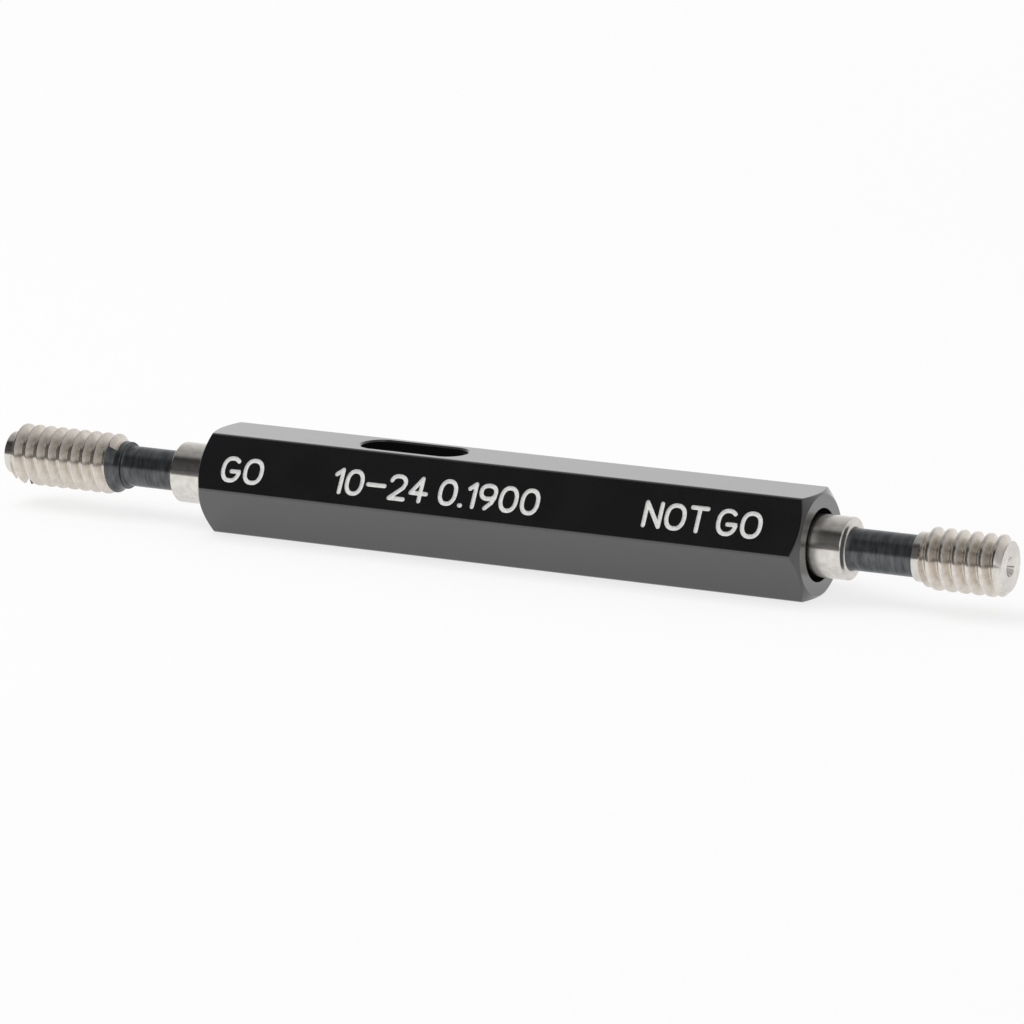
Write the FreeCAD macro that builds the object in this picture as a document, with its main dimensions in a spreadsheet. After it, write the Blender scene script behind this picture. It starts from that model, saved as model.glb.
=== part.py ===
import FreeCAD, Part
import os
import Sketcher

# Double-end thread plug gauge, taper-lock pattern, in millimetres.
# A hexagonal aluminium handle holds one threaded member in each end. Each member has a
# tapered shank that wedges in the handle, a plain collar, a slim neck and a screw thread.
# Frame: X along the gauge with the NOT GO member at +X and the GO member at -X, Z up,
# origin in the middle of the handle's lower flat.

# name, value, what it sets
sizes = [
    ("handle_length", 51.6, "handle from end face to end face"),
    ("across_flats", 7.9375, "hexagon bar, 5/16 inch"),
    ("corner_radius", 0.3, "rounding along the six long edges of the bar"),
    ("end_face_dia", 7.64, "flat that the turned bevel leaves at each end"),
    ("end_bevel_angle", 35, "turned bevel, from the end face"),
    ("taper_gauge_dia", 4.6, "shank and socket taper where it crosses the handle's end face"),
    ("taper_rate", 0.0208333, "loss of diameter per length, 1/4 inch per foot"),
    ("mouth_gap", 0.4, "clearance round the collar in the socket's mouth"),
    ("mouth_floor_gap", 0.4, "clearance behind the deeper collar"),
    ("drill_point_angle", 118, "bottom of each socket"),
    ("slot_overlap", 2.4, "how far a drift slot starts before the end of the shank"),
    ("slot_length", 9.0, "drift slot along the handle, over its round ends"),
    ("slot_width", 3.175, "drift slot across the flat, 1/8 inch"),
    ("slot_run_on", 0.6, "drift slot past the full bore of its socket"),
    ("slot_edge_break", 0.15, "bevel round each drift slot"),
    ("collar_dia", 4.7625, "3/16 inch"),
    ("collar_length", 4.0, "plain collar"),
    ("collar_bevel", 0.12, "outer edge of the collar"),
    ("shank_length", 14.5, "tapered shank behind the collar"),
    ("shank_bevel", 0.3, "inner end of the shank"),
    ("neck_dia", 3.175, "1/8 inch"),
    ("neck_bevel", 0.25, "into the collar and the shoulder at the ends of the neck"),
    ("shoulder_dia", 3.75, "plain step between neck and thread"),
    ("centre_mouth_dia", 1.53, "centre holes in both ends of each member"),
    ("centre_angle", 60, "centre hole countersink"),
    ("pilot_dia", 0.6, "drilled bottom of the centre hole in the front end"),
    ("pilot_depth", 1.8, "from the front face"),
    ("thread_pitch", 1.0583, "24 threads per inch"),
    ("thread_angle", 60, "between the flanks"),
    ("go_standout", 3.41, "GO collar past the handle"),
    ("go_neck_length", 4.97, "GO collar to shoulder"),
    ("go_shoulder_length", 0.55, "GO shoulder"),
    ("go_gauge_length", 10.23, "GO shoulder to front face"),
    ("go_major_dia", 4.826, "GO thread over the crests"),
    ("go_crest_share", 0.125, "GO crest flat as a share of the pitch"),
    ("go_root_share", 0.25, "GO root flat as a share of the pitch"),
    ("go_thread_offset", 0.04, "shoulder to the first turn of the groove"),
    ("go_thread_clock", -40, "where the groove starts, turned from the top"),
    ("go_nose_dia", 3.42, "plain nose in front of the GO thread"),
    ("go_nose_length", 0.28, "nose all the way round"),
    ("go_clearing_length", 0.68, "nose where the feather edge of the first turn is taken off"),
    ("go_clearing_angle", 180, "how far round that goes, from the chip groove"),
    ("chip_clock", -165, "chip groove, turned from the top"),
    ("chip_width", 0.9, "chip groove across"),
    ("chip_length", 2.9, "chip groove from the front face to its run-out"),
    ("chip_floor_dia", 3.3, "bottom of the chip groove at the front face"),
    ("not_go_standout", 2.58, "NOT GO collar past the handle"),
    ("not_go_neck_length", 5.47, "NOT GO collar to shoulder"),
    ("not_go_shoulder_length", 0.6, "NOT GO shoulder"),
    ("not_go_gauge_length", 6.59, "NOT GO shoulder to front face"),
    ("not_go_major_dia", 4.676, "NOT GO thread over the truncated crests"),
    ("not_go_crest_share", 0.25, "NOT GO crest flat as a share of the pitch"),
    ("not_go_root_share", 0.14, "NOT GO root flat as a share of the pitch"),
    ("not_go_thread_offset", -0.15, "shoulder to the first turn of the groove"),
    ("not_go_thread_clock", -90, "where the groove starts, turned from the top"),
    ("not_go_face_dia", 3.8, "flat inside the bevel on the NOT GO front face"),
]

tolerance = 1e-4  # mm, when an edge is found by where it lies
past_the_bar = 1  # mm, how far an end bevel's section reaches outside the bar's corners
least_kept, most_kept = 0.3, 0.9999  # share of the volume that any one cut may leave
bevel_share = 0.9  # of the narrowest step beside the neck, at most
past_the_crest = "Sizes.thread_pitch / 25"  # how far a thread groove's section reaches outside the blank

doc = FreeCAD.newDocument("ThreadPlugGauge")

sheet = doc.addObject("Spreadsheet::Sheet", "Sizes")
for row, (name, value, note) in enumerate(sizes, 1):
    sheet.set(f"A{row}", name)
    sheet.set(f"B{row}", str(value))
    sheet.set(f"C{row}", note)
    sheet.setAlias(f"B{row}", name)
doc.recompute()


def number(expression):
    return float(sheet.evalExpression(expression))


def new_body(label):
    body = doc.addObject("PartDesign::Body", label)
    body.Label = label
    return body


def new_sketch(body, name, role, turn=None):
    # turn: the sketch plane is swung about the gauge's axis by this many degrees
    plane = next(item for item in body.Origin.OriginFeatures if item.Role == role)
    sketch = body.newObject("Sketcher::SketchObject", name)
    sketch.AttachmentSupport = (plane, [""])
    sketch.MapMode = "FlatFace"
    if turn:
        axis = FreeCAD.Vector(1, 0, 0)
        sketch.AttachmentOffset = FreeCAD.Placement(FreeCAD.Vector(), FreeCAD.Rotation(axis, number(turn)))
        sketch.setExpression("AttachmentOffset.Rotation.Angle", turn)
    return sketch


def place(sketch, geometry, point, x, y):
    # ties one point of the sketch to its origin by two expressions
    for kind, expression, axis in (("DistanceX", x, -2), ("DistanceY", y, -1)):
        if expression == "0":
            sketch.addConstraint(Sketcher.Constraint("PointOnObject", geometry, point, axis))
        else:
            value = number(expression)
            rule = sketch.addConstraint(Sketcher.Constraint(kind, -1, 1, geometry, point, value))
            sketch.setExpression(f"Constraints[{rule}]", expression)


def closed_outline(sketch, corners):
    spots = [FreeCAD.Vector(number(x), number(y), 0) for x, y in corners]
    count = len(corners)
    for index in range(count):
        sketch.addGeometry(Part.LineSegment(spots[index], spots[(index + 1) % count]))
    for index in range(count):
        sketch.addConstraint(Sketcher.Constraint("Coincident", index, 2, (index + 1) % count, 1))
    for index, (x, y) in enumerate(corners):
        place(sketch, index, 1, x, y)


def turned(body, kind, name, sketch, angle=None):
    feature = body.newObject(kind, name)
    feature.Profile = sketch
    feature.ReferenceAxis = (sketch, ["H_Axis"])
    feature.Angle = 360
    if angle:
        feature.setExpression("Angle", angle)
    doc.recompute()
    return feature


def check_cut(before, feature):
    kept = feature.Shape.Volume / before.Shape.Volume
    if not least_kept < kept < most_kept:
        raise RuntimeError(f"{feature.Label} keeps {kept:.4f} of its base")


def edges_where(feature, test):
    return [f"Edge{index}" for index, edge in enumerate(feature.Shape.Edges, 1) if test(edge)]


def dress(body, kind, name, base, edges, size_name, expression):
    # a fillet or chamfer on the named edges
    if not edges:
        raise RuntimeError(f"{name} has no edges")
    feature = body.newObject(kind, name)
    feature.Base = (base, edges)
    feature.setExpression(size_name, expression)
    doc.recompute()
    return feature


def tan_of(angle):
    return f"tan({angle} * 1 deg)"


# Distances inward from a handle end that the handle and both members share
deeper_standout = "min(Sizes.go_standout; Sizes.not_go_standout)"
longer_standout = "max(Sizes.go_standout; Sizes.not_go_standout)"
mouth_depth = f"(Sizes.collar_length - {deeper_standout} + Sizes.mouth_floor_gap)"
slot_start = f"(Sizes.collar_length + Sizes.shank_length - {longer_standout} - Sizes.slot_overlap)"
slot_end = f"({slot_start} + Sizes.slot_length)"
socket_depth = f"({slot_end} - Sizes.slot_run_on)"


def taper_radius(inward):
    return f"(Sizes.taper_gauge_dia - Sizes.taper_rate * ({inward})) / 2"


def make_handle():
    body = new_body("handle")
    half = "Sizes.handle_length / 2"
    flat = "Sizes.across_flats / 2"
    corner = "Sizes.across_flats / sqrt(3)"

    # hexagon bar with two flats level
    bar_sketch = new_sketch(body, "HandleSection", "YZ_Plane")
    closed_outline(bar_sketch, [
        (corner, "0"), (f"{corner} / 2", flat), (f"-{corner} / 2", flat),
        (f"-{corner}", "0"), (f"-{corner} / 2", f"-{flat}"), (f"{corner} / 2", f"-{flat}"),
    ])
    bar = body.newObject("PartDesign::Pad", "HandleBar")
    bar.Profile = bar_sketch
    bar.Midplane = True
    bar.setExpression("Length", "Sizes.handle_length")
    doc.recompute()
    long_edges = edges_where(bar, lambda edge: edge.BoundBox.XLength > number(half))
    rounded = dress(body, "PartDesign::Fillet", "HandleCorners", bar, long_edges, "Radius",
                    "Sizes.corner_radius")

    # both ends are bevelled on a lathe, so the flats end in shallow arcs
    last = rounded
    rim = "Sizes.end_face_dia / 2"
    outside = f"({corner} + {past_the_bar})"
    bevel_run = f"({outside} - {rim}) * {tan_of('Sizes.end_bevel_angle')}"
    for side, sign in (("Go", "-1"), ("NotGo", "1")):
        end_sketch = new_sketch(body, f"{side}EndBevelSection", "XZ_Plane")
        closed_outline(end_sketch, [
            (f"{sign} * {half}", rim),
            (f"{sign} * ({half} - {bevel_run})", outside),
            (f"{sign} * {half}", outside),
        ])
        bevel = turned(body, "PartDesign::Groove", f"{side}EndBevel", end_sketch)
        check_cut(last, bevel)
        last = bevel

    # sockets: wide mouth that clears the collar, self-holding taper, drill point
    for side, sign in (("Go", "-1"), ("NotGo", "1")):
        def inward(depth):
            return f"{sign} * ({half} - {depth})"

        small = taper_radius(socket_depth)
        point = f"({small}) / {tan_of('Sizes.drill_point_angle / 2')}"
        mouth = "(Sizes.collar_dia / 2 + Sizes.mouth_gap)"
        socket_sketch = new_sketch(body, f"{side}SocketSection", "XZ_Plane")
        closed_outline(socket_sketch, [
            (inward("0"), "0"),
            (inward("0"), mouth),
            (inward(mouth_depth), mouth),
            (inward(mouth_depth), taper_radius(mouth_depth)),
            (inward(socket_depth), small),
            (inward(f"({socket_depth} + {point})"), "0"),
        ])
        socket = turned(body, "PartDesign::Groove", f"{side}Socket", socket_sketch)
        check_cut(last, socket)
        last = socket

    # drift slots: milled from a flat down to the axis, across the inner end of each shank.
    # The GO slot opens upwards and the NOT GO slot opens on the opposite flat.
    for side, sign, upward in (("Go", "-1", True), ("NotGo", "1", False)):
        slot_sketch = new_sketch(body, f"{side}DriftSlotSection", "XY_Plane")
        radius = "Sizes.slot_width / 2"
        outer = f"{sign} * ({half} - {slot_start} - {radius})"
        inner = f"{sign} * ({half} - {slot_end} + {radius})"
        left, right = sorted((outer, inner), key=number)
        width = number(radius)
        low = FreeCAD.Vector(number(left), 0, 0)
        high = FreeCAD.Vector(number(right), 0, 0)
        up, out = FreeCAD.Vector(0, width, 0), FreeCAD.Vector(width, 0, 0)
        slot_sketch.addGeometry(Part.LineSegment(low + up, high + up))
        slot_sketch.addGeometry(Part.Arc(high + up, high + out, high - up))
        slot_sketch.addGeometry(Part.LineSegment(high - up, low - up))
        slot_sketch.addGeometry(Part.Arc(low - up, low - out, low + up))
        place(slot_sketch, 1, 3, right, "0")
        place(slot_sketch, 3, 3, left, "0")
        # a Part.Arc runs anticlockwise in the sketch, so its first point is the lower one on the right
        slot_sketch.addConstraint(Sketcher.Constraint("Tangent", 0, 2, 1, 2))
        slot_sketch.addConstraint(Sketcher.Constraint("Tangent", 2, 1, 1, 1))
        slot_sketch.addConstraint(Sketcher.Constraint("Tangent", 2, 2, 3, 2))
        slot_sketch.addConstraint(Sketcher.Constraint("Tangent", 0, 1, 3, 1))
        rule = slot_sketch.addConstraint(Sketcher.Constraint("Radius", 1, width))
        slot_sketch.setExpression(f"Constraints[{rule}]", radius)
        slot = body.newObject("PartDesign::Pocket", f"{side}DriftSlot")
        slot.Profile = slot_sketch
        slot.Type = "ThroughAll"
        slot.Reversed = upward
        doc.recompute()
        check_cut(last, slot)
        last = slot

    # both slots lose their sharp rims
    level = number(flat)
    reach = number("Sizes.slot_width") / 2 + tolerance

    def on_rim(edge):
        box = edge.BoundBox
        return (abs(abs(box.ZMin) - level) < tolerance and box.ZLength < tolerance
                and max(abs(box.YMin), abs(box.YMax)) < reach and box.XLength < number("Sizes.slot_length"))

    dress(body, "PartDesign::Chamfer", "DriftSlotRims", last, edges_where(last, on_rim), "Size",
          "Sizes.slot_edge_break")
    body.setExpression("Placement.Base.z", flat)
    return body


def make_member(label, prefix, nose, chip_groove, to_the_right):
    # a member's own axis is X, pointing outward, with 0 at the handle's end face
    body = new_body(label)

    def own(size):
        return f"Sizes.{prefix}_{size}"

    standout = own("standout")
    shoulder = f"({standout} + {own('neck_length')})"
    thread_foot = f"({shoulder} + {own('shoulder_length')})"
    front = f"({thread_foot} + {own('gauge_length')})"
    collar_foot = f"({standout} - Sizes.collar_length)"
    inner_end = f"({collar_foot} - Sizes.shank_length)"
    collar = "Sizes.collar_dia / 2"
    neck = "Sizes.neck_dia / 2"
    step = "Sizes.shoulder_dia / 2"
    crest = f"({own('major_dia')} / 2)"
    pilot = "Sizes.pilot_dia / 2"
    centre = "Sizes.centre_mouth_dia / 2"
    sink = f"({centre} - {pilot}) / {tan_of('Sizes.centre_angle / 2')}"

    # blank: turned and ground all over, with a centre hole in each end
    blank_sketch = new_sketch(body, f"{label}_blank_section", "XZ_Plane")
    closed_outline(blank_sketch, [
        (f"{inner_end} + {centre} / {tan_of('Sizes.centre_angle / 2')}", "0"),
        (inner_end, centre),
        (inner_end, f"{taper_radius(f'-{inner_end}')} - Sizes.shank_bevel"),
        (f"{inner_end} + Sizes.shank_bevel", taper_radius(f"-({inner_end} + Sizes.shank_bevel)")),
        (collar_foot, taper_radius(f"-{collar_foot}")),
        (collar_foot, collar),
        (f"{standout} - Sizes.collar_bevel", collar),
        (standout, f"{collar} - Sizes.collar_bevel"),
        (standout, neck),
        (shoulder, neck),
        (shoulder, step),
        (thread_foot, step),
        (f"{thread_foot} + {crest} - {step}", crest),
        *nose(front, crest),
        (front, centre),
        (f"{front} - {sink}", pilot),
        (f"{front} - Sizes.pilot_depth", pilot),
        (f"{front} - Sizes.pilot_depth", "0"),
    ])
    blank = turned(body, "PartDesign::Revolution", f"{label}_blank", blank_sketch)

    def neck_end(edge):
        box = edge.BoundBox
        at_end = min(abs(box.XMin - number(spot)) for spot in (standout, shoulder)) < tolerance
        return box.XLength < tolerance and at_end and abs(box.ZMax - number(neck)) < tolerance

    collar_face_dia = "Sizes.collar_dia - 2 * Sizes.collar_bevel"
    smallest_step = f"(min(Sizes.shoulder_dia; {collar_face_dia}) - Sizes.neck_dia) / 2"
    necked = dress(body, "PartDesign::Chamfer", f"{label}_neck_bevels", blank, edges_where(blank, neck_end),
                   "Size", f"min(Sizes.neck_bevel; {bevel_share} * {smallest_step})")

    ready = chip_groove(body, necked, front) if chip_groove else necked

    # right-hand thread: a flat-bottomed groove swept along a helix and out through the front
    lean = tan_of("Sizes.thread_angle / 2")
    opening = f"(Sizes.thread_pitch * (1 - {own('crest_share')}) / 2)"
    floor = f"(Sizes.thread_pitch * {own('root_share')} / 2)"
    depth = f"(({opening} - {floor}) / {lean})"
    middle = f"({thread_foot} + {own('thread_offset')})"
    groove_sketch = new_sketch(body, f"{label}_thread_section", "XZ_Plane", own("thread_clock"))
    closed_outline(groove_sketch, [
        (f"{middle} - {floor}", f"{crest} - {depth}"),
        (f"{middle} - {opening} - {past_the_crest} * {lean}", f"{crest} + {past_the_crest}"),
        (f"{middle} + {opening} + {past_the_crest} * {lean}", f"{crest} + {past_the_crest}"),
        (f"{middle} + {floor}", f"{crest} - {depth}"),
    ])
    thread = body.newObject("PartDesign::SubtractiveHelix", f"{label}_thread")
    thread.Profile = groove_sketch
    thread.ReferenceAxis = (groove_sketch, ["H_Axis"])
    thread.Mode = "pitch-height-angle"
    thread.setExpression("Pitch", "Sizes.thread_pitch")
    thread.setExpression("Height", f"{own('gauge_length')} - {own('thread_offset')} + Sizes.thread_pitch")
    doc.recompute()
    check_cut(ready, thread)

    body.setExpression("Placement.Base.z", "Sizes.across_flats / 2")
    if to_the_right:
        body.setExpression("Placement.Base.x", "Sizes.handle_length / 2")
    else:
        body.Placement.Rotation = FreeCAD.Rotation(FreeCAD.Vector(0, 0, 1), 180)
        body.setExpression("Placement.Base.x", "-Sizes.handle_length / 2")
    return body


def go_nose(front, crest):
    # plain nose, small enough to enter the hole before the thread does
    back = f"{front} - Sizes.go_nose_length"
    return [(back, crest), (back, "Sizes.go_nose_dia / 2"), (front, "Sizes.go_nose_dia / 2")]


def not_go_nose(front, crest):
    # 45 degree bevel down to the front face
    face = "Sizes.not_go_face_dia / 2"
    return [(f"{front} - {crest} + {face}", crest), (front, face)]


def go_chip_groove(body, base, front):
    # groove left by a grinding wheel along the GO member: it takes the dirt that the first
    # threads scrape up, and runs out behind them
    crest = "Sizes.go_major_dia / 2"
    floor = "Sizes.chip_floor_dia / 2"
    rise = f"({crest} - {floor})"
    wheel = f"((Sizes.chip_length * Sizes.chip_length + {rise} * {rise}) / (2 * {rise}))"
    hub = f"({floor} + {wheel})"
    chip_sketch = new_sketch(body, "go_chip_groove_section", "XZ_Plane", "Sizes.chip_clock")
    hub_spot = FreeCAD.Vector(number(front), number(hub), 0)
    chip_sketch.addGeometry(Part.Circle(hub_spot, FreeCAD.Vector(0, 0, 1), number(wheel)))
    place(chip_sketch, 0, 3, front, hub)
    rule = chip_sketch.addConstraint(Sketcher.Constraint("Radius", 0, number(wheel)))
    chip_sketch.setExpression(f"Constraints[{rule}]", wheel)
    groove = body.newObject("PartDesign::Pocket", "go_chip_groove")
    groove.Profile = chip_sketch
    groove.Midplane = True
    groove.setExpression("Length", "Sizes.chip_width")
    doc.recompute()
    check_cut(base, groove)

    # ahead of the groove the thin start of the first turn is ground away
    top = f"{crest} + {past_the_crest}"
    back = f"{front} - Sizes.go_clearing_length"
    past = f"{front} + {past_the_crest}"
    clear_sketch = new_sketch(body, "go_first_turn_section", "XZ_Plane", "Sizes.chip_clock")
    closed_outline(clear_sketch, [
        (back, "Sizes.go_nose_dia / 2"), (past, "Sizes.go_nose_dia / 2"), (past, top), (back, top),
    ])
    cleared = turned(body, "PartDesign::Groove", "go_first_turn", clear_sketch, "Sizes.go_clearing_angle")
    check_cut(groove, cleared)
    return cleared


handle = make_handle()
go_member = make_member("go_member", "go", go_nose, go_chip_groove, False)
not_go_member = make_member("not_go_member", "not_go", not_go_nose, None, True)
doc.recompute()

for item in doc.Objects:
    if "Invalid" in item.State or "Error" in item.State:
        raise RuntimeError(f"{item.Label} failed: {item.State}")

os.makedirs("parts", exist_ok=True)
for body in (handle, go_member, not_go_member):
    if body.Shape.isNull() or not body.Shape.isValid() or len(body.Shape.Solids) != 1:
        raise RuntimeError(f"{body.Label} is not one valid solid")
    body.Shape.exportStep(f"parts/{body.Label}.step")
    box = body.Shape.optimalBoundingBox(False)
    extent = f"{box.XLength:.2f} x {box.YLength:.2f} x {box.ZLength:.2f} mm"
    print(f"{body.Label}: {body.Shape.Volume:.1f} mm3, {extent}")
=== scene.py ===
import math
import bpy
import bmesh
from mathutils import Matrix, Vector


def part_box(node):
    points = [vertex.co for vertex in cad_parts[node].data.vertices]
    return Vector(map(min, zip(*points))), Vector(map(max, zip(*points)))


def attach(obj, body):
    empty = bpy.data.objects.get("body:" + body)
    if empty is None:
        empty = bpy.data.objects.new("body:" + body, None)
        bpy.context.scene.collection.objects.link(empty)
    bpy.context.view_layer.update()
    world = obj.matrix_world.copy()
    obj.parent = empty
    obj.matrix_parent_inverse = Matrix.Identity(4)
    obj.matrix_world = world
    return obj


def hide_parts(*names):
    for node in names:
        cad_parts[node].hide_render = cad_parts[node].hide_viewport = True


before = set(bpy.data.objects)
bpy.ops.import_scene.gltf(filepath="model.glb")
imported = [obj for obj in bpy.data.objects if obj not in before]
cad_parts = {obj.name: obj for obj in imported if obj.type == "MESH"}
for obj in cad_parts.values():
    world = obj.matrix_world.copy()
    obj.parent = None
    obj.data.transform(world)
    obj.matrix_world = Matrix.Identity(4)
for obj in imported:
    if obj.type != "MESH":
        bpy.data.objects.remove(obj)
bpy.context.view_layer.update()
mm = 0.001

# Double-end thread plug gauge. Lengths are in millimetres, angles in degrees.
# Places come from the CAD boxes: the gauge's axis runs along X through the middle of the handle.
handleLow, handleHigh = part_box("handle")
handleEnd = handleHigh[0] / mm
axisHeight = (handleLow[2] + handleHigh[2]) / 2 / mm
flatHeight = (handleHigh[2] - handleLow[2]) / 2 / mm
print("frame loaded")


# ---- mesh tools

def gaugePoint(along, across, up):
    # from the gauge's axis, in millimetres, to the scene
    return Vector((along, across, axisHeight + up)) * mm


def polar(radius, angle):
    # angle from the top round towards the front, -Y
    turn = math.radians(angle)
    return -radius * math.sin(turn), radius * math.cos(turn)


def roundedProfile(corners, steps=4):
    # corners are (along, radius, rounding, finish). A rounded corner becomes an arc with a holding
    # row on each side of it, which keeps the shading of the faces beside it true.
    rows = []
    for index, (along, radius, rounding, finish) in enumerate(corners):
        if not rounding:
            rows.append((along, radius, finish))
            continue
        here = Vector((along, radius))
        toLast = Vector(corners[index - 1][:2]) - here
        toNext = Vector(corners[index + 1][:2]) - here
        nextFinish = corners[index + 1][3]
        half = toLast.angle(toNext) / 2
        reach = min(rounding / math.tan(half), toLast.length * 0.45, toNext.length * 0.45)
        start, end = toLast.normalized() * reach, toNext.normalized() * reach
        centre = (start + end).normalized() * (reach / math.cos(half))
        rows.append((*(here + start * 1.1), finish))
        first = start - centre
        sweep = first.angle_signed(end - centre)
        for step in range(steps + 1):
            share = step / steps
            arm = first.copy()
            arm.rotate(Matrix.Rotation(-sweep * share, 2))
            rows.append((*(here + centre + arm), finish if share <= 0.5 else nextFinish))
        rows.append((*(here + end * 1.1), nextFinish))
    return rows


def skin(name, sections, finishes, side=1):
    # sections go once round the axis: (angle, rows). Rows run from one end of the axis to the other.
    work = bmesh.new()
    grid = []
    for angle, rows in sections:
        line = []
        for along, radius, finish in rows:
            across, up = polar(radius, angle)
            line.append(work.verts.new(gaugePoint(side * along, side * across, up)))
        grid.append(line)
    for column, line in enumerate(grid):
        nextLine = grid[(column + 1) % len(grid)]
        rows = sections[column][1]
        for row in range(len(line) - 1):
            face = work.faces.new((line[row], line[row + 1], nextLine[row + 1], nextLine[row]))
            face.material_index = finishes.index(rows[row + 1][2])
    bmesh.ops.remove_doubles(work, verts=work.verts, dist=1e-4 * mm)
    bmesh.ops.recalc_face_normals(work, faces=work.faces)
    return meshObject(name, work, finishes)


def meshObject(name, work, finishes):
    mesh = bpy.data.meshes.new(name)
    work.to_mesh(mesh)
    work.free()
    thing = bpy.data.objects.new(name, mesh)
    bpy.context.collection.objects.link(thing)
    for finish in finishes:
        mesh.materials.append(materials[finish])
    return thing


def joinRings(work, rings):
    # the sides and both ends of a solid that runs through rings of equal count
    count = len(rings[0])
    for last, following in zip(rings, rings[1:]):
        for spot in range(count):
            after = (spot + 1) % count
            work.faces.new((last[spot], last[after], following[after], following[spot]))
    work.faces.new(rings[0])
    work.faces.new(rings[-1])


def makeTool(name, work, finish):
    # flat triangles only, which keep a cut closed where a twisted face would leave it open
    bmesh.ops.recalc_face_normals(work, faces=work.faces)
    bmesh.ops.triangulate(work, faces=work.faces)
    return meshObject(name, work, [finish])


def cut(thing, tools):
    # takes the tools' volume away and leaves the tools' finishes on the cut faces
    for tool in tools:
        change = thing.modifiers.new("cut", "BOOLEAN")
        change.operation = "DIFFERENCE"
        change.solver = "EXACT"
        change.object = tool
        change.use_self = bool(tool.get("overlaps"))
        change.material_mode = "TRANSFER"
    ready = thing.evaluated_get(bpy.context.evaluated_depsgraph_get())
    result = bpy.data.meshes.new_from_object(ready)
    thing.modifiers.clear()
    spent = thing.data
    thing.data = result
    bpy.data.meshes.remove(spent)
    for tool in tools:
        bpy.data.meshes.remove(tool.data)


def smooth(thing, sharpAngle=28):
    mesh = thing.data
    mesh.polygons.foreach_set("use_smooth", [True] * len(mesh.polygons))
    mesh.set_sharp_from_angle(angle=math.radians(sharpAngle))


# ---- materials

def linear(hexColour):
    parts = [int(hexColour[spot:spot + 2], 16) / 255 for spot in (1, 3, 5)]
    return [part / 12.92 if part <= 0.04045 else ((part + 0.055) / 1.055) ** 2.4 for part in parts] + [1.0]


def add(tree, kind, settings=None, links=None):
    # settings: a node's properties and unlinked sockets; links: socket -> (node, output)
    node = tree.nodes.new(kind)
    for key, value in (settings or {}).items():
        if hasattr(node, str(key)) and not isinstance(key, int):
            setattr(node, key, value)
        else:
            node.inputs[key].default_value = value
    for key, (source, output) in (links or {}).items():
        tree.links.new(source.outputs[output], node.inputs[key])
    return node


def newMaterial(name, settings):
    material = bpy.data.materials.new(name)
    material.use_nodes = True
    tree = material.node_tree
    tree.nodes.clear()
    shader = add(tree, "ShaderNodeBsdfPrincipled", settings)
    output = add(tree, "ShaderNodeOutputMaterial", None, {"Surface": (shader, "BSDF")})
    place = add(tree, "ShaderNodeTexCoord")
    return material, tree, shader, place


def ramp(tree, stops, links):
    node = add(tree, "ShaderNodeValToRGB", None, links)
    while len(node.color_ramp.elements) < len(stops):
        node.color_ramp.elements.new(0.5)
    for element, (position, value) in zip(node.color_ramp.elements, stops):
        element.position = position
        element.color = value if isinstance(value, list) else (value, value, value, 1)
    return node


anodised = {
    "colour": "#111112", "worn": "#1c1c1e", "roughness": 0.14, "layerIor": 1.62,
    "sealIor": 1.5, "grain": 0.12,
}


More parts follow.
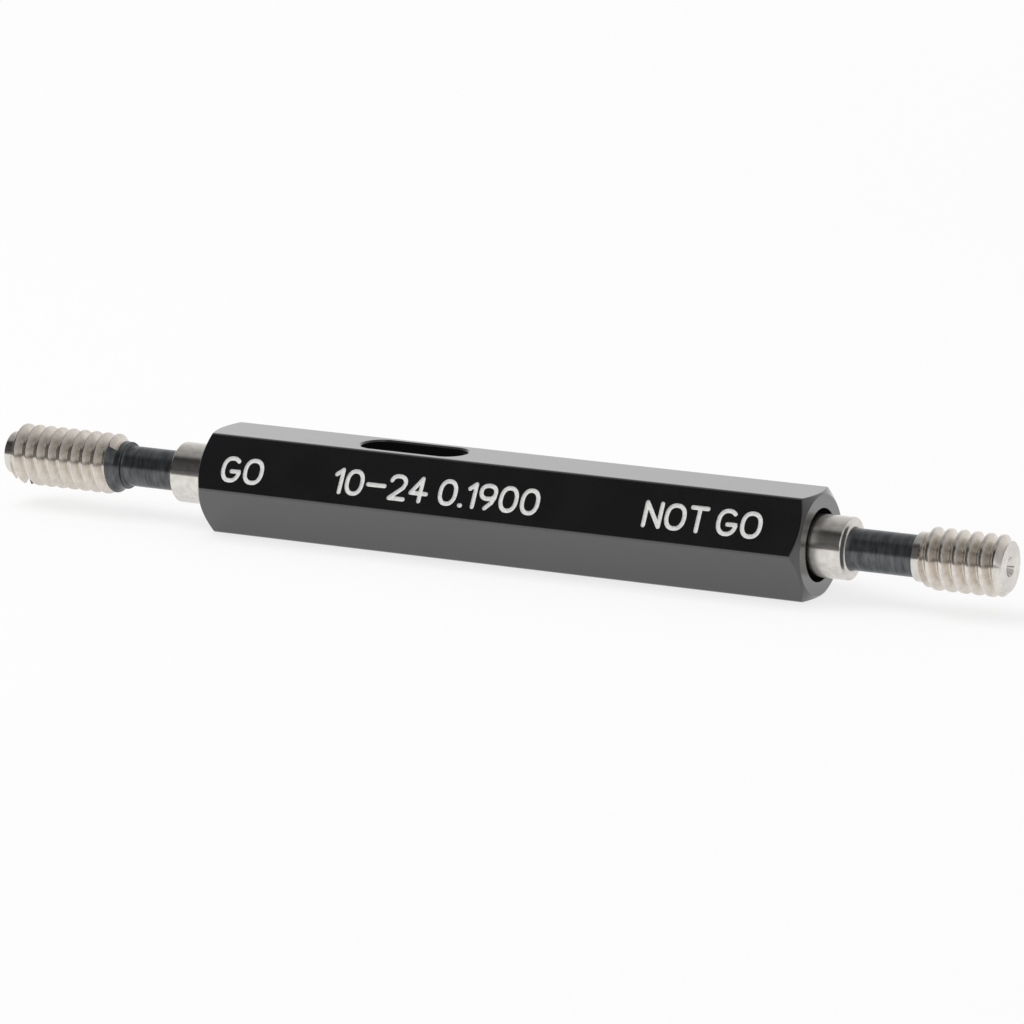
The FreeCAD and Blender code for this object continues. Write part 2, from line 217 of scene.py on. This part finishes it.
def blackAnodisedBar(name, turned):
    # drawn aluminium bar, dyed black in the anodising bath and sealed: a deep black with a hard,
    # glassy skin, so a face turns light grey only where it mirrors the bright surround at a low angle
    settings = {
        "Base Color": linear(anodised["colour"]), "Metallic": 0.0, "IOR": anodised["layerIor"],
        "Roughness": anodised["roughness"], "Coat Weight": 1.0, "Coat IOR": anodised["sealIor"],
        "Coat Roughness": 0.12,
    }
    if turned:
        settings.update({"Roughness": 0.24, "Coat Roughness": 0.22, "Anisotropic": 0.75,
                         "Anisotropic Rotation": 0.0})
    material, tree, shader, place = newMaterial(name, settings)
    # drawing lines along the bar, or turning marks round its ends
    if turned:
        parts = add(tree, "ShaderNodeSeparateXYZ", None, {"Vector": (place, "Object")})
        height = add(tree, "ShaderNodeMath", {"operation": "SUBTRACT", 1: axisHeight * mm}, {0: (parts, "Z")})
        square = add(tree, "ShaderNodeCombineXYZ", None, {"Y": (parts, "Y"), "Z": (height, 0)})
        reach = add(tree, "ShaderNodeVectorMath", {"operation": "LENGTH"}, {0: (square, 0)})
        lines = add(tree, "ShaderNodeTexNoise",
                    {"noise_dimensions": "1D", "Scale": 1 / (anodised["grain"] * mm), "Detail": 3.0},
                    {"W": (reach, "Value")})
        tangent = add(tree, "ShaderNodeTangent", {"direction_type": "RADIAL", "axis": "X"})
        tree.links.new(tangent.outputs[0], shader.inputs["Tangent"])
        strength = 0.25
    else:
        stretch = add(tree, "ShaderNodeMapping", {"Scale": (0.02, 1, 1)}, {"Vector": (place, "Object")})
        lines = add(tree, "ShaderNodeTexNoise", {"Scale": 1 / (anodised["grain"] * mm), "Detail": 4.0},
                    {"Vector": (stretch, 0)})
        strength = 0.035
    dust = add(tree, "ShaderNodeTexVoronoi", {"Scale": 1 / (2.6 * mm), "Randomness": 1.0},
               {"Vector": (place, "Object")})
    pits = ramp(tree, [(0.0, 1.0), (0.022, 0.0)], {"Fac": (dust, "Distance")})
    cloud = add(tree, "ShaderNodeTexNoise", {"Scale": 1 / (4.0 * mm), "Detail": 2.0},
                {"Vector": (place, "Object")})
    shade = add(tree, "ShaderNodeMix", {"data_type": "RGBA", 6: linear(anodised["colour"]),
                                        7: linear(anodised["worn"])}, {0: (cloud, "Fac")})
    specked = add(tree, "ShaderNodeMix", {"data_type": "RGBA", 7: linear("#6a6866")},
                  {0: (pits, "Color"), 6: (shade, 2)})
    tree.links.new(specked.outputs[2], shader.inputs["Base Color"])
    bump = add(tree, "ShaderNodeBump", {"Strength": strength, "Distance": 0.01 * mm},
               {"Height": (lines, 0)})
    tree.links.new(bump.outputs[0], shader.inputs["Normal"])
    rough = add(tree, "ShaderNodeMapRange",
                {3: settings["Roughness"] - 0.03, 4: settings["Roughness"] + 0.04}, {0: (cloud, "Fac")})
    tree.links.new(rough.outputs[0], shader.inputs["Roughness"])
    return material


steel = {"colour": "#e4e0da", "groove": "#e2dad0", "roughness": 0.2, "spread": 0.85, "grit": 0.05}


def groundSteel(name, colour, roughness, marks, facing=False):
    # hardened tool steel, cylindrically ground: fine rings round the axis that smear a highlight
    # along the gauge but keep it crisp round the curve
    material, tree, shader, place = newMaterial(name, {
        "Base Color": linear(colour), "Metallic": 1.0, "Roughness": roughness,
        "Anisotropic": steel["spread"], "Anisotropic Rotation": 0.0 if facing else 0.25,
    })
    tangent = add(tree, "ShaderNodeTangent", {"direction_type": "RADIAL", "axis": "X"})
    tree.links.new(tangent.outputs[0], shader.inputs["Tangent"])
    parts = add(tree, "ShaderNodeSeparateXYZ", None, {"Vector": (place, "Object")})
    grain = add(tree, "ShaderNodeTexNoise",
                {"Scale": 1 / (steel["grit"] * mm), "Detail": 3.0}, {"Vector": (place, "Object")})
    rings = add(tree, "ShaderNodeTexNoise",
                {"noise_dimensions": "1D", "Scale": 1 / (0.07 * mm), "Detail": 3.0}, {"W": (parts, "X")})
    both = add(tree, "ShaderNodeMath", {"operation": "MULTIPLY_ADD", 1: 0.5}, {0: (grain, 0), 2: (rings, 0)})
    bump = add(tree, "ShaderNodeBump", {"Strength": marks, "Distance": 0.004 * mm}, {"Height": (both, 0)})
    tree.links.new(bump.outputs[0], shader.inputs["Normal"])
    cloud = add(tree, "ShaderNodeTexNoise", {"Scale": 1 / (0.5 * mm), "Detail": 4.0},
                {"Vector": (place, "Object")})
    tone = ramp(tree, [(0.35, [c * 0.86 for c in linear(colour)[:3]] + [1]), (0.65, linear(colour))],
                {"Fac": (cloud, "Fac")})
    tree.links.new(tone.outputs[0], shader.inputs["Base Color"])
    rough = add(tree, "ShaderNodeMapRange", {3: roughness * 0.8, 4: roughness * 1.25}, {0: (grain, 0)})
    tree.links.new(rough.outputs[0], shader.inputs["Roughness"])
    return material


blackSkin = {
    "colour": "#5e5f63", "dark": "#484a4d", "light": "#6c6d6f", "roughness": 0.32, "turningPitch": 0.11,
}


def blackenedSteel(name):
    # the hardening scale left on the turned neck: blue-black, half metallic, with turning marks
    material, tree, shader, place = newMaterial(name, {
        "Base Color": linear(blackSkin["colour"]), "Metallic": 0.9, "Roughness": blackSkin["roughness"],
        "Anisotropic": 0.7, "Anisotropic Rotation": 0.25,
    })
    tangent = add(tree, "ShaderNodeTangent", {"direction_type": "RADIAL", "axis": "X"})
    tree.links.new(tangent.outputs[0], shader.inputs["Tangent"])
    parts = add(tree, "ShaderNodeSeparateXYZ", None, {"Vector": (place, "Object")})
    rings = add(tree, "ShaderNodeTexNoise",
                {"noise_dimensions": "1D", "Scale": 1 / (blackSkin["turningPitch"] * mm), "Detail": 2.0},
                {"W": (parts, "X")})
    bump = add(tree, "ShaderNodeBump", {"Strength": 0.5, "Distance": 0.01 * mm}, {"Height": (rings, 0)})
    tree.links.new(bump.outputs[0], shader.inputs["Normal"])
    squeeze = add(tree, "ShaderNodeMapping", {"Scale": (4, 1, 1)}, {"Vector": (place, "Object")})
    cloud = add(tree, "ShaderNodeTexNoise", {"Scale": 1 / (1.2 * mm), "Detail": 4.0},
                {"Vector": (squeeze, 0)})
    tone = ramp(tree, [(0.3, linear(blackSkin["dark"])), (0.7, linear(blackSkin["light"]))],
                {"Fac": (cloud, "Fac")})
    tree.links.new(tone.outputs[0], shader.inputs["Base Color"])
    return material


def wipedPaint(name):
    # white enamel wiped into the engraving: matt, slightly uneven
    material, tree, shader, place = newMaterial(name, {
        "Base Color": linear("#e4e4e2"), "Roughness": 0.55, "IOR": 1.5})
    lumps = add(tree, "ShaderNodeTexNoise", {"Scale": 1 / (0.15 * mm), "Detail": 3.0},
                {"Vector": (place, "Object")})
    tone = ramp(tree, [(0.3, linear("#cfcfcd")), (0.6, linear("#e8e8e6"))], {"Fac": (lumps, "Fac")})
    tree.links.new(tone.outputs[0], shader.inputs["Base Color"])
    bump = add(tree, "ShaderNodeBump", {"Strength": 0.4, "Distance": 0.02 * mm}, {"Height": (lumps, 0)})
    tree.links.new(bump.outputs[0], shader.inputs["Normal"])
    return material


materials = {
    "bar": blackAnodisedBar("black_anodised_bar", False),
    "turnedEnd": blackAnodisedBar("black_anodised_turned_end", True),
    "steel": groundSteel("ground_tool_steel", steel["colour"], steel["roughness"], 0.25),
    "steelFace": groundSteel("ground_tool_steel_face", steel["colour"], 0.3, 0.3, True),
    "groove": groundSteel("ground_thread_steel", steel["groove"], 0.26, 0.3),
    "black": blackenedSteel("blackened_steel"),
    "paint": wipedPaint("wiped_engraving_paint"),
}
print("materials made")


# ---- handle

handle = {
    "cornerRadius": 0.3, "flatDivisions": 16, "cornerSteps": 6, "edgeHold": 0.03,
    "endFaceRadius": 3.82, "endBevelAngle": 35, "endEdge": 0.14, "rimEdge": 0.06,
    "mouthRadius": 2.78, "mouthDepth": 1.82, "taperRadius": 2.3, "taperRate": 0.0208333 / 2,
    "socketDepth": 21.1, "drillPoint": 1.25,
    "slotStart": 12.69, "slotLength": 9.0, "slotRadius": 1.5875, "slotEdge": 0.13,
}


def handleOutline():
    # the hexagon's section: (angle, radius) round the axis, with its corners rounded
    points = []
    rounding = handle["cornerRadius"]
    halfFlat = flatHeight * math.tan(math.radians(30)) - rounding * math.tan(math.radians(30))
    cornerReach = (flatHeight - rounding) / math.cos(math.radians(30))
    # rows close to the flat's edges keep its shading flat
    hold = handle["edgeHold"]
    spread = [-halfFlat, hold - halfFlat]
    count = handle["flatDivisions"]
    spread += [(2 * step / count - 1) * (halfFlat - hold) for step in range(1, count)]
    spread += [halfFlat - hold]
    for flat in range(6):
        for offset in spread:
            points.append((flat * 60 + math.degrees(math.atan2(offset, flatHeight)),
                           math.hypot(offset, flatHeight)))
        for step in range(handle["cornerSteps"]):
            lean = math.radians(60 * step / handle["cornerSteps"] - 30)
            along = cornerReach + rounding * math.cos(lean)
            aside = rounding * math.sin(lean)
            points.append((flat * 60 + 30 + math.degrees(math.atan2(aside, along)), math.hypot(along, aside)))
    return points


def handleRows(outline):
    # one lengthwise row of the handle, from the bottom of one socket to the bottom of the other
    slope = math.tan(math.radians(handle["endBevelAngle"]))
    bevelEnd = handleEnd - (outline - handle["endFaceRadius"]) * slope
    floor = handleEnd - handle["mouthDepth"]
    floorRadius = handle["taperRadius"] - handle["taperRate"] * handle["mouthDepth"]
    bottom = handleEnd - handle["socketDepth"]
    bottomRadius = handle["taperRadius"] - handle["taperRate"] * handle["socketDepth"]
    half = [
        (bottom - handle["drillPoint"], 0, 0, "turnedEnd"),
        (bottom, bottomRadius, 0, "turnedEnd"),
        (floor, floorRadius, 0, "turnedEnd"),
        (floor, handle["mouthRadius"], 0, "turnedEnd"),
        (handleEnd, handle["mouthRadius"], handle["rimEdge"], "turnedEnd"),
        (handleEnd, handle["endFaceRadius"], handle["rimEdge"], "turnedEnd"),
        (bevelEnd, outline, handle["endEdge"], "turnedEnd"),
    ]
    # the row's last stretch runs along the bar itself
    forward = roundedProfile(half + [(0, outline, 0, "bar")])
    # a finish belongs to the stretch that ends at its row, so a mirrored row takes its neighbour's
    back = [(-row[0], row[1], neighbour[2]) for row, neighbour in zip(forward[-2::-1], forward[:0:-1])]
    return forward[:-1] + back


def makeHandle():
    sections = [(angle, handleRows(radius)) for angle, radius in handleOutline()]
    return skin("handle_body", sections, ["bar", "turnedEnd", "paint"])


def slotTool(side, upward):
    # a cutter with round ends, opening out in a fine bevel at the flat
    work = bmesh.new()
    radius, edge = handle["slotRadius"], handle["slotEdge"]
    outer = handleEnd - handle["slotStart"] - radius
    inner = handleEnd - handle["slotStart"] - handle["slotLength"] + radius
    steps = 32
    rings = []
    for height, grow in ((0, 0), (flatHeight - edge, 0), (flatHeight + edge, 2 * edge)):
        ring = []
        for centre, start in ((outer, -90), (inner, 90)):
            for step in range(steps + 1):
                turn = math.radians(start + 180 * step / steps)
                along = centre + (radius + grow) * math.cos(turn)
                across = (radius + grow) * math.sin(turn)
                ring.append(work.verts.new(gaugePoint(side * along, across, height * upward)))
        rings.append(ring)
    joinRings(work, rings)
    return makeTool("slot_tool", work, "bar")


# ---- engraving on the upper front flat

engraving = {
    "stroke": 0.34, "depth": 0.09, "height": 1.8, "faceAngle": 60, "squareness": 0.86,
    # text, start along the handle, baseline from the middle of the flat
    "words": [("GO", -23.52, -1.35), ("10-24", -13.55, -1.27), ("0.1900", -4.42, -1.22), ("NOT", 12.97, -1.1),
              ("GO", 19.02, -1.06)],
    "gap": 0.36, "depthStep": 0.0012, "clear": 0.3,
}


def oval(width, start, sweep, height=1.0, base=0.0, steps=28):
    # part of an upright oval with slightly square shoulders, as an engraving machine draws it
    points = []
    for step in range(steps + 1):
        turn = math.radians(start + sweep * step / steps)
        across, up = math.cos(turn), math.sin(turn)
        across = math.copysign(abs(across) ** engraving["squareness"], across)
        up = math.copysign(abs(up) ** engraving["squareness"], up)
        points.append((width * (0.5 + across / 2), base + height * (0.5 + up / 2)))
    return points


# each letter: its width over the stroke's middle, then its strokes in units of the height
letters = {
    "G": (0.80, [oval(0.80, 48, 300, 1.0) + [(0.78, 0.42), (0.42, 0.42)]]),
    "O": (0.80, [oval(0.80, 90, 360)]),
    "0": (0.72, [oval(0.72, 90, 360)]),
    "N": (0.69, [[(0, 0), (0, 1)], [(0, 1), (0.69, 0)], [(0.69, 0), (0.69, 1)]]),
    "T": (0.70, [[(0, 1), (0.70, 1)], [(0.35, 1), (0.35, 0)]]),
    "1": (0.27, [[(0, 0.78), (0.27, 1)], [(0.27, 1), (0.27, 0)]]),
    "2": (0.71, [oval(0.68, 165, -165, 0.62, 0.38, 16) + [(0.60, 0.50), (0.03, 0.0)],
                 [(0.03, 0), (0.71, 0)]]),
    "4": (0.74, [[(0.46, 1), (0, 0.34)], [(0, 0.34), (0.74, 0.34)], [(0.46, 1), (0.46, 0)]]),
    "9": (0.68, [oval(0.68, 0, 360, 0.58, 0.42, 24),
                 [(0.68, 0.70), (0.66, 0.5), (0.56, 0.26), (0.30, 0)]]),
    "-": (0.80, [[(0, 0.49), (0.80, 0.49)]]),
    ".": (0.05, [[(0, 0.0), (0.05, 0.0)]]),
}


def strokeOutline(points, width):
    # both sides of a stroke and its round ends; a closed stroke gives two loops
    flat = [Vector(point) for point in points]
    closed = (flat[0] - flat[-1]).length < 1e-4
    if closed:
        flat.pop()
    sides = []
    count = len(flat)
    for index, point in enumerate(flat):
        last = flat[index - 1] if closed or index else point
        following = flat[(index + 1) % count] if closed or index < count - 1 else point
        first = (point - last).normalized() if (point - last).length else (following - point).normalized()
        second = (following - point).normalized() if (following - point).length else first
        middle = (first + second).normalized()
        normal = Vector((-middle.y, middle.x))
        stretch = 1 / max(0.35, normal.dot(Vector((-first.y, first.x))))
        sides.append((point + normal * width * stretch / 2, point - normal * width * stretch / 2))
    return flat, sides, closed


def engravingTool():
    work = bmesh.new()
    turn = math.radians(engraving["faceAngle"])
    normal = Vector((0, -math.sin(turn), math.cos(turn)))
    up = Vector((0, math.cos(turn), math.sin(turn)))
    height = engraving["height"]

    def onFace(along, rise, lift):
        spot = normal * (flatHeight + lift) + up * rise
        return work.verts.new(gaugePoint(along, spot.y, spot.z))

    strokes = []
    for text, start, base in engraving["words"]:
        place = start
        for letter in text:
            width, shapes = letters[letter]
            for shape in shapes:
                strokes.append([(place + x * height, base + y * height) for x, y in shape])
            place += width * height + engraving["gap"] + engraving["stroke"] / 2
    half = engraving["stroke"] / 2
    for number, points in enumerate(strokes):
        # neighbours differ by a hair in depth, so that no two floors lie in one plane
        depth = engraving["depth"] + engraving["depthStep"] * (number % 5)
        flat, sides, closed = strokeOutline(points, engraving["stroke"])
        lifts = (-depth, engraving["clear"])
        if closed:
            loops = [[[onFace(*pair[which], lift) for pair in sides] for which in (0, 1)] for lift in lifts]
            count = len(sides)
            for spot in range(count):
                following = (spot + 1) % count
                low, high = loops
                work.faces.new((low[0][spot], low[0][following], low[1][following], low[1][spot]))
                work.faces.new((high[0][spot], high[1][spot], high[1][following], high[0][following]))
                work.faces.new((low[0][spot], high[0][spot], high[0][following], low[0][following]))
                work.faces.new((low[1][spot], low[1][following], high[1][following], high[1][spot]))
            continue
        ring = [pair[0] for pair in sides]
        ring += roundEnd(flat[-1], sides[-1][0], half)
        ring += [pair[1] for pair in reversed(sides)]
        ring += roundEnd(flat[0], sides[0][1], half)
        joinRings(work, [[onFace(point.x, point.y, lift) for point in ring] for lift in lifts])
    tool = makeTool("engraving_tool", work, "paint")
    tool["overlaps"] = 1
    return tool


def roundEnd(centre, start, radius, steps=10):
    arm = start - centre
    points = []
    for step in range(1, steps):
        turned = arm.copy()
        turned.rotate(Matrix.Rotation(-math.pi * step / steps, 2))
        points.append(centre + turned)
    return points


handleBody = makeHandle()
cut(handleBody, [slotTool(-1, 1), slotTool(1, -1), engravingTool()])
smooth(handleBody)
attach(handleBody, "root")
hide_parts("handle")
print("handle made")


# ---- members

thread = {"pitch": 1.0583, "angle": 60, "around": 144, "crestRound": 0.03, "rootRound": 0.05}
members = {
    "go": {
        "node": "go_member", "side": -1, "standout": 3.41, "neck": 4.97, "shoulder": 0.55, "gauge": 10.23,
        "major": 4.826, "crestShare": 0.125, "rootShare": 0.25, "offset": 0.04, "clock": -40.9,
        "shoulderFinish": "black", "footFinish": "black",
        "nose": (3.42, 0.68),
        "chip": {"clock": -165, "width": 0.9, "length": 2.9, "floor": 3.3},
    },
    "notGo": {
        "node": "not_go_member", "side": 1, "standout": 2.58, "neck": 5.47, "shoulder": 0.6, "gauge": 6.59,
        "major": 4.676, "crestShare": 0.25, "rootShare": 0.14, "offset": -0.15, "clock": -90,
        "shoulderFinish": "steel", "footFinish": "steel", "face": 3.8,
    },
}
blank = {
    "collarRadius": 2.38125, "collarLength": 4.0, "collarEdge": 0.1, "shankLength": 14.5, "shankBevel": 0.3,
    "neckRadius": 1.5875, "neckFillet": 0.3, "shoulderRadius": 1.875, "centreMouth": 0.765, "centreAngle": 60,
    "pilot": 0.3, "pilotDepth": 1.8,
}


def memberBlank(name, size):
    # the member before its thread: rows from the inner end of the shank to the front face
    out = handleEnd + size["standout"]
    foot = out - blank["collarLength"]
    inner = foot - blank["shankLength"]
    neckEnd = out + size["neck"]
    threadFoot = neckEnd + size["shoulder"]
    front = threadFoot + size["gauge"]
    crest = size["major"] / 2
    slope = math.tan(math.radians(blank["centreAngle"] / 2))
    sink = (blank["centreMouth"] - blank["pilot"]) / slope

    def taper(along):
        return handle["taperRadius"] + handle["taperRate"] * (along - handleEnd)

    corners = [
        (inner + blank["centreMouth"] / slope, 0, 0, "steel"),
        (inner, blank["centreMouth"], 0, "steelFace"),
        (inner, taper(inner) - blank["shankBevel"], 0, "steelFace"),
        (inner + blank["shankBevel"], taper(inner), 0, "steel"),
        (foot, taper(foot), 0, "steel"),
        (foot, blank["collarRadius"], 0, "steelFace"),
        (out, blank["collarRadius"], blank["collarEdge"], "steel"),
        (out, blank["neckRadius"], blank["neckFillet"], "steelFace"),
        (neckEnd, blank["neckRadius"], 0.22, "black"),
        (neckEnd, blank["shoulderRadius"], 0.06, size["shoulderFinish"]),
        (threadFoot, blank["shoulderRadius"], 0.04, size["shoulderFinish"]),
        (threadFoot + crest - blank["shoulderRadius"], crest, 0.03, size["footFinish"]),
    ]
    if "nose" in size:
        noseRadius, noseLength = size["nose"][0] / 2, size["nose"][1]
        corners += [(front - noseLength, crest, 0.03, "steel"),
                    (front - noseLength, noseRadius, 0.04, "steelFace"),
                    (front, noseRadius, 0.06, "steel")]
    else:
        face = size["face"] / 2
        corners += [(front - crest + face, crest, 0.03, "steel"), (front, face, 0.04, "steel")]
    corners += [
        (front, blank["centreMouth"], 0.03, "steelFace"),
        (front - sink, blank["pilot"], 0, "steel"),
        (front - blank["pilotDepth"], blank["pilot"], 0, "black"),
        (front - blank["pilotDepth"], 0, 0, "black"),
    ]
    rows = roundedProfile(corners)
    around = thread["around"]
    sections = [(360 * step / around, rows) for step in range(around)]
    piece = skin(name, sections, ["steel", "steelFace", "black", "groove"], size["side"])
    return piece, threadFoot, front, crest


def threadTool(size, threadFoot, crest):
    # the thread groove as a solid: a 60 degree form swept along a right-hand helix
    pitch = thread["pitch"]
    slope = math.tan(math.radians(thread["angle"] / 2))
    opening = pitch * (1 - size["crestShare"]) / 2
    floor = pitch * size["rootShare"] / 2
    root = crest - (opening - floor) / slope
    edge, dip = thread["crestRound"], thread["rootRound"]
    over = 0.25
    # half of the form, from outside the crest's rounding down the flank to the root
    half = [
        (opening + edge * 2.2, crest + over), (opening + edge * 1.3, crest + 0.0008),
        (opening + edge * 0.2, crest - edge * 0.25), (opening - edge * 0.7, crest - edge * 0.7 / slope),
        (floor + dip * slope, root + dip), (floor - dip * 0.6, root),
    ]
    form = [(-along, radius) for along, radius in half] + half[::-1]
    middle = threadFoot + size["offset"]
    turns = (size["gauge"] - size["offset"]) / pitch + 1
    around = thread["around"]
    work = bmesh.new()
    rings = []
    for step in range(math.ceil(turns * around) + 1):
        shift = middle + pitch * step / around
        across, up = polar(1, size["clock"] + 360 * step / around)
        rings.append([work.verts.new(gaugePoint(size["side"] * (shift + along),
                                                size["side"] * across * radius, up * radius))
                      for along, radius in form])
    joinRings(work, rings)
    return makeTool("thread_tool", work, "groove")


def chipTool(size, front, crest):
    # a grinding wheel's disc, standing over the member and lengthwise to it
    chip = size["chip"]
    floor = chip["floor"] / 2
    rise = crest - floor
    wheel = (chip["length"] ** 2 + rise ** 2) / (2 * rise)
    work = bmesh.new()
    turn = math.radians(chip["clock"])
    outward = Vector((-math.sin(turn), math.cos(turn)))
    aside = Vector((outward.y, -outward.x))
    steps = 48
    rings = []
    # the disc's rim from behind the chip groove's run-out to past the front face, closed above the crest
    inward, outer = math.radians(-24), math.radians(12)
    rim = []
    for step in range(steps + 1):
        lean = inward + (outer - inward) * step / steps
        rim.append((front + wheel * math.sin(lean), floor + wheel * (1 - math.cos(lean))))
    rim += [(front + wheel * math.sin(outer), crest + 1), (front + wheel * math.sin(inward), crest + 1)]
    for edge in (-chip["width"] / 2, chip["width"] / 2):
        ring = []
        for along, height in rim:
            spot = outward * height + aside * edge
            ring.append(work.verts.new(gaugePoint(size["side"] * along, size["side"] * spot.x, spot.y)))
        rings.append(ring)
    joinRings(work, rings)
    return makeTool("chip_tool", work, "groove")


def makeMember(name, size):
    piece, threadFoot, front, crest = memberBlank(name, size)
    tools = [chipTool(size, front, crest)] if "chip" in size else []
    cut(piece, [threadTool(size, threadFoot, crest)] + tools)
    smooth(piece)
    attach(piece, "root")
    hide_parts(size["node"])
    return piece


goMember = makeMember("go_gauging_member", members["go"])
notGoMember = makeMember("not_go_gauging_member", members["notGo"])
print("members made")


# ---- floor, light and camera

studio = {
    "floorSize": 6.0, "fade": (0.15, 0.5), "shadowShare": 0.25, "ambient": 0.8,
    "keyPlace": (-0.25, -0.1, 0.6), "keySize": 0.5, "keyPower": 2.2,
    "curtainSpan": (-0.34, 0.05), "curtainLevels": (0.05, 1.25),
}
# brightness of the room by elevation: degrees from straight up towards the camera side
room = [(-180, 0.9), (-90, 1.15), (-67, 1.1), (-55, 0.9), (-43, 0.78), (-31, 0.68), (-19, 0.54),
        (-7, 0.44), (5, 0.5), (14, 0.72), (22, 0.66), (28, 0.3), (33, 0.36), (42, 0.68), (55, 0.75),
        (66, 0.95), (73, 0.6), (80, 0.25), (88, 0.2), (93, 1.0), (180, 0.9)]


def makeRoom():
    world = bpy.data.worlds.new("studio_room")
    bpy.context.scene.world = world
    world.use_nodes = True
    tree = world.node_tree
    tree.nodes.clear()
    place = add(tree, "ShaderNodeTexCoord")
    parts = add(tree, "ShaderNodeSeparateXYZ", None, {"Vector": (place, "Generated")})
    front = add(tree, "ShaderNodeMath", {"operation": "MULTIPLY", 1: -1.0}, {0: (parts, "Y")})
    lean = add(tree, "ShaderNodeMath", {"operation": "ARCTAN2"}, {0: (front, 0), 1: (parts, "Z")})
    share = add(tree, "ShaderNodeMapRange", {1: -math.pi, 2: math.pi}, {0: (lean, 0)})
    tone = ramp(tree, [((angle + 180) / 360, level) for angle, level in room], {"Fac": (share, 0)})
    # a dark curtain on the left of the camera, which the upper front of the handle mirrors
    (dark, bright), (low, high) = studio["curtainSpan"], studio["curtainLevels"]
    curtain = add(tree, "ShaderNodeMapRange",
                  {1: dark, 2: bright, 3: low, 4: high, "interpolation_type": "SMOOTHSTEP"},
                  {0: (parts, "X")})
    behind = ramp(tree, [(0.5, 0.0), (0.56, 1.0), (0.7, 1.0), (0.74, 0.0)], {"Fac": (share, 0)})
    blend = add(tree, "ShaderNodeMix", {"data_type": "FLOAT", 2: 1.0},
                {0: (behind, "Color"), 3: (curtain, 0)})
    level = add(tree, "ShaderNodeMath", {"operation": "MULTIPLY"}, {0: (tone, "Color"), 1: (blend, 0)})
    rays = add(tree, "ShaderNodeLightPath")
    mirrored = add(tree, "ShaderNodeMath", {"operation": "MAXIMUM"},
                   {0: (rays, "Is Glossy Ray"), 1: (rays, "Is Transmission Ray")})
    soft = add(tree, "ShaderNodeMix", {"data_type": "FLOAT", 2: studio["ambient"]},
               {0: (mirrored, 0), 3: (level, 0)})
    final = add(tree, "ShaderNodeMix", {"data_type": "FLOAT", 3: 1.0},
                {0: (rays, "Is Camera Ray"), 2: (soft, 0)})
    glow = add(tree, "ShaderNodeBackground", None, {"Strength": (final, 0)})
    add(tree, "ShaderNodeOutputWorld", None, {"Surface": (glow, 0)})


def makeFloor():
    work = bmesh.new()
    bmesh.ops.create_grid(work, x_segments=1, y_segments=1, size=studio["floorSize"] / 2)
    material = bpy.data.materials.new("pale_paper_floor")
    material.use_nodes = True
    tree = material.node_tree
    tree.nodes.clear()
    place = add(tree, "ShaderNodeTexCoord")
    reach = add(tree, "ShaderNodeVectorMath", {"operation": "LENGTH"}, {0: (place, "Object")})
    far = add(tree, "ShaderNodeMapRange", {1: studio["fade"][0], 2: studio["fade"][1]}, {0: (reach, "Value")})
    near = add(tree, "ShaderNodeMapRange", {3: studio["shadowShare"], 4: 0.0}, {0: (far, 0)})
    paper = add(tree, "ShaderNodeBsdfDiffuse", {"Color": (0.9, 0.9, 0.9, 1)})
    white = add(tree, "ShaderNodeEmission", {"Color": (1, 1, 1, 1), "Strength": 1.0})
    rays = add(tree, "ShaderNodeLightPath")
    seen = add(tree, "ShaderNodeMath", {"operation": "MAXIMUM"},
               {0: (rays, "Is Camera Ray"), 1: (rays, "Is Glossy Ray")})
    share = add(tree, "ShaderNodeMix", {"data_type": "FLOAT", 2: 1.0}, {0: (seen, 0), 3: (near, 0)})
    mixed = add(tree, "ShaderNodeMixShader", None, {0: (share, 0), 1: (white, 0), 2: (paper, 0)})
    add(tree, "ShaderNodeOutputMaterial", None, {"Surface": (mixed, 0)})
    materials["floor"] = material
    floor = meshObject("paper_floor", work, ["floor"])
    floor.location.z = -0.00002


def makeLight():
    lamp = bpy.data.lights.new("key_softbox", "AREA")
    lamp.size = studio["keySize"]
    lamp.energy = studio["keyPower"]
    thing = bpy.data.objects.new("key_softbox", lamp)
    thing.location = studio["keyPlace"]
    thing.rotation_euler = (-Vector(studio["keyPlace"])).to_track_quat("-Z", "Y").to_euler()
    thing.visible_glossy = False
    bpy.context.collection.objects.link(thing)


view = {"azimuth": 27.61, "elevation": 13.364, "roll": -0.298, "distance": 440.2, "aim": (-0.156, 0, 3.769),
        "lens": 202.28}


def makeCamera():
    side, rise = math.radians(view["azimuth"]), math.radians(view["elevation"])
    back = Vector((math.cos(rise) * math.sin(side), -math.cos(rise) * math.cos(side), math.sin(rise)))
    right = Vector((math.cos(side), math.sin(side), 0))
    up = back.cross(right)
    axes = Matrix((right, up, back)).transposed() @ Matrix.Rotation(math.radians(view["roll"]), 3, "Z")
    camera = bpy.data.cameras.new("camera")
    camera.lens = view["lens"]
    camera.sensor_width = 36
    camera.clip_start = 0.01
    thing = bpy.data.objects.new("camera", camera)
    place = (Vector(view["aim"]) + back * view["distance"]) * mm
    thing.matrix_world = Matrix.Translation(place) @ axes.to_4x4()
    bpy.context.collection.objects.link(thing)
    bpy.context.scene.camera = thing


makeRoom()
makeFloor()
makeLight()
makeCamera()
bpy.context.scene.view_settings.view_transform = "Standard"
print("studio made")
